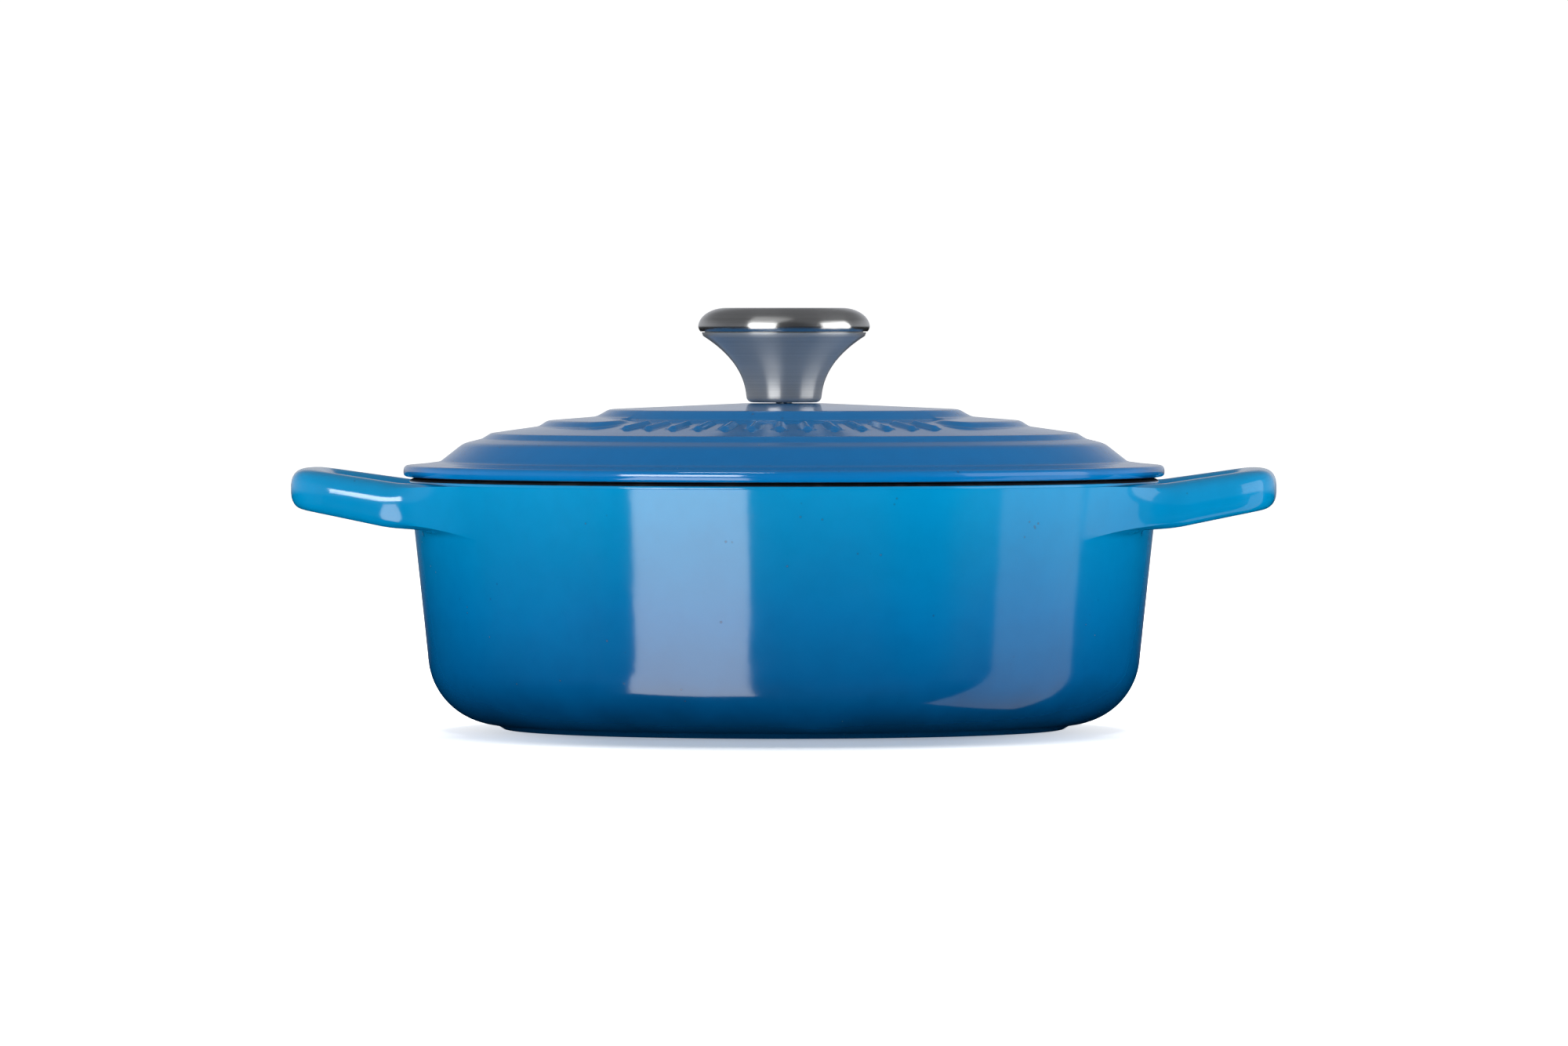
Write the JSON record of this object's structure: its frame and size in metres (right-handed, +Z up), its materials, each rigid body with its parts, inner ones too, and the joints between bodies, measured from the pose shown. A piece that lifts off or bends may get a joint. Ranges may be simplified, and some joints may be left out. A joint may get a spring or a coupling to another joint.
{
  "type": "dutch oven",
  "caption": "Low, wide enamelled cast iron casserole with loop handles cast on its wall and a stepped lid that lifts off by a hollow steel knob screwed through the middle.",
  "frame": {"origin": "centre of the foot, on the surface that the pot stands on", "axes": "+X and -X along the two loop handles, -Y towards the front where the lid's middle step is open, +Z up along the knob's axis"},
  "size_m": [0.3304, 0.2554, 0.1412],
  "materials": {
    "pot_enamel": "glossy blue vitreous enamel that darkens towards the base, matte black enamel on the rim, light enamel inside",
    "lid_enamel": "glossy deeper blue vitreous enamel, light enamel underneath",
    "polished_steel": "polished stainless steel with faint turning lines",
    "satin_steel": "satin stainless steel, brushed round its axis",
    "fastener_steel": "plain stainless steel"
  },
  "bodies": {
    "pot": {"pot_casting": "pot_enamel"},
    "knob": {"knob_stem": "polished_steel", "knob_cap": "satin_steel", "knob_nut": "fastener_steel"},
    "lid": {"lid_casting": "lid_enamel"},
    "washers": {"flat_washer": "fastener_steel", "spring_washer": "fastener_steel"},
    "screw": {"knob_screw": "fastener_steel"}
  },
  "joints": [
    {"name": "lid_lift", "type": "slide", "parent": "pot", "child": "knob", "axis": [0, 0, 1], "range_m": [0, 0.15]},
    {"name": "lid_turn", "type": "hinge", "parent": "knob", "child": "lid", "pos_m": [0, 0, 0.1092], "axis": [0, 0, 1], "continuous": true},
    {"name": "screw_travel", "type": "slide", "parent": "knob", "child": "washers", "axis": [0, 0, -1], "range_m": [0, 0.008]},
    {"name": "screw_turn", "type": "hinge", "parent": "washers", "child": "screw", "pos_m": [0, 0, 0.1], "axis": [0, 0, -1], "range_deg": [0, 2881]}
  ],
  "couplings": [
    {"joint": "screw_turn", "follows": "screw_travel", "rad_per_m": 6283.2}
  ]
}
